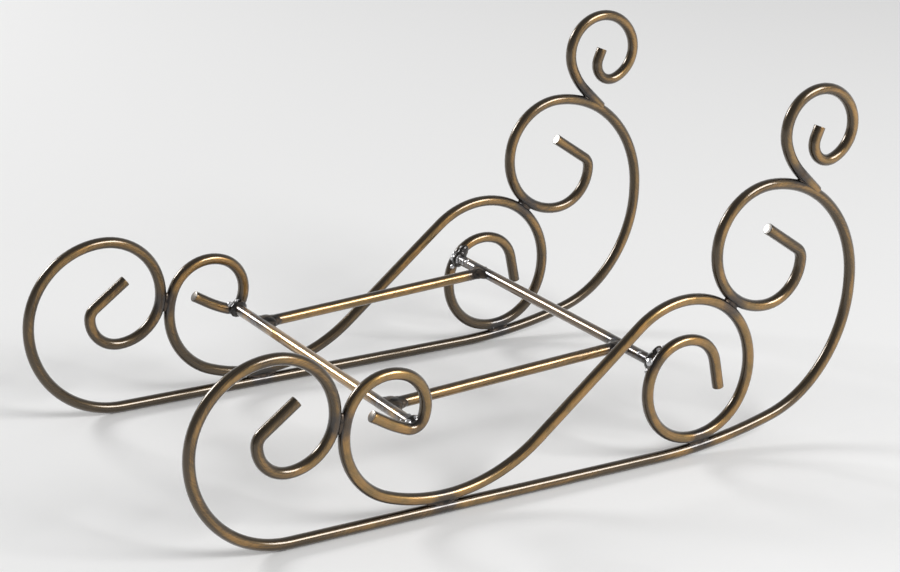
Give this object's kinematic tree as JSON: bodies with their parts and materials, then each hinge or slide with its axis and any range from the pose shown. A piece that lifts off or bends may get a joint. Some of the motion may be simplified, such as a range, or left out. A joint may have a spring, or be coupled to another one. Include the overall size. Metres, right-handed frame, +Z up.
{
  "type": "photo album stand",
  "caption": "Low sleigh-shaped stand for a photo album, of bent round steel rod: scrolled side frames joined by cross rods that carry tray rods between them.",
  "frame": {"origin": "on the table, under the middle of the overall box", "axes": "+X the stand's right-hand side, +Y towards its tall back, +Z up"},
  "size_m": [0.2, 0.387, 0.1887],
  "materials": {
    "bronzed_rod": "antique bronze wash, brushed back to a warm brown",
    "cross_rod": "the same wash worn thin over bright drawn steel",
    "weld_bead": "uneven weld metal, heat darkened, under the bronze wash"
  },
  "bodies": {
    "root": {"left_runner": "bronzed_rod", "left_s_scroll": "bronzed_rod", "left_finial": "bronzed_rod", "left_tray_rod": "bronzed_rod", "right_runner": "bronzed_rod", "right_s_scroll": "bronzed_rod", "right_finial": "bronzed_rod", "right_tray_rod": "bronzed_rod", "front_cross_rod": "cross_rod", "rear_cross_rod": "cross_rod", "left_front_scroll_weld": "weld_bead", "left_front_base_weld": "weld_bead", "left_rear_base_weld": "weld_bead", "left_back_scroll_weld": "weld_bead", "left_finial_weld": "weld_bead", "left_front_cross_weld": "weld_bead", "left_rear_cross_weld": "weld_bead", "left_tray_front_weld": "weld_bead", "left_tray_rear_weld": "weld_bead", "right_front_scroll_weld": "weld_bead", "right_front_base_weld": "weld_bead", "right_rear_base_weld": "weld_bead", "right_back_scroll_weld": "weld_bead", "right_finial_weld": "weld_bead", "right_front_cross_weld": "weld_bead", "right_rear_cross_weld": "weld_bead", "right_tray_front_weld": "weld_bead", "right_tray_rear_weld": "weld_bead"}
  },
  "joints": []
}
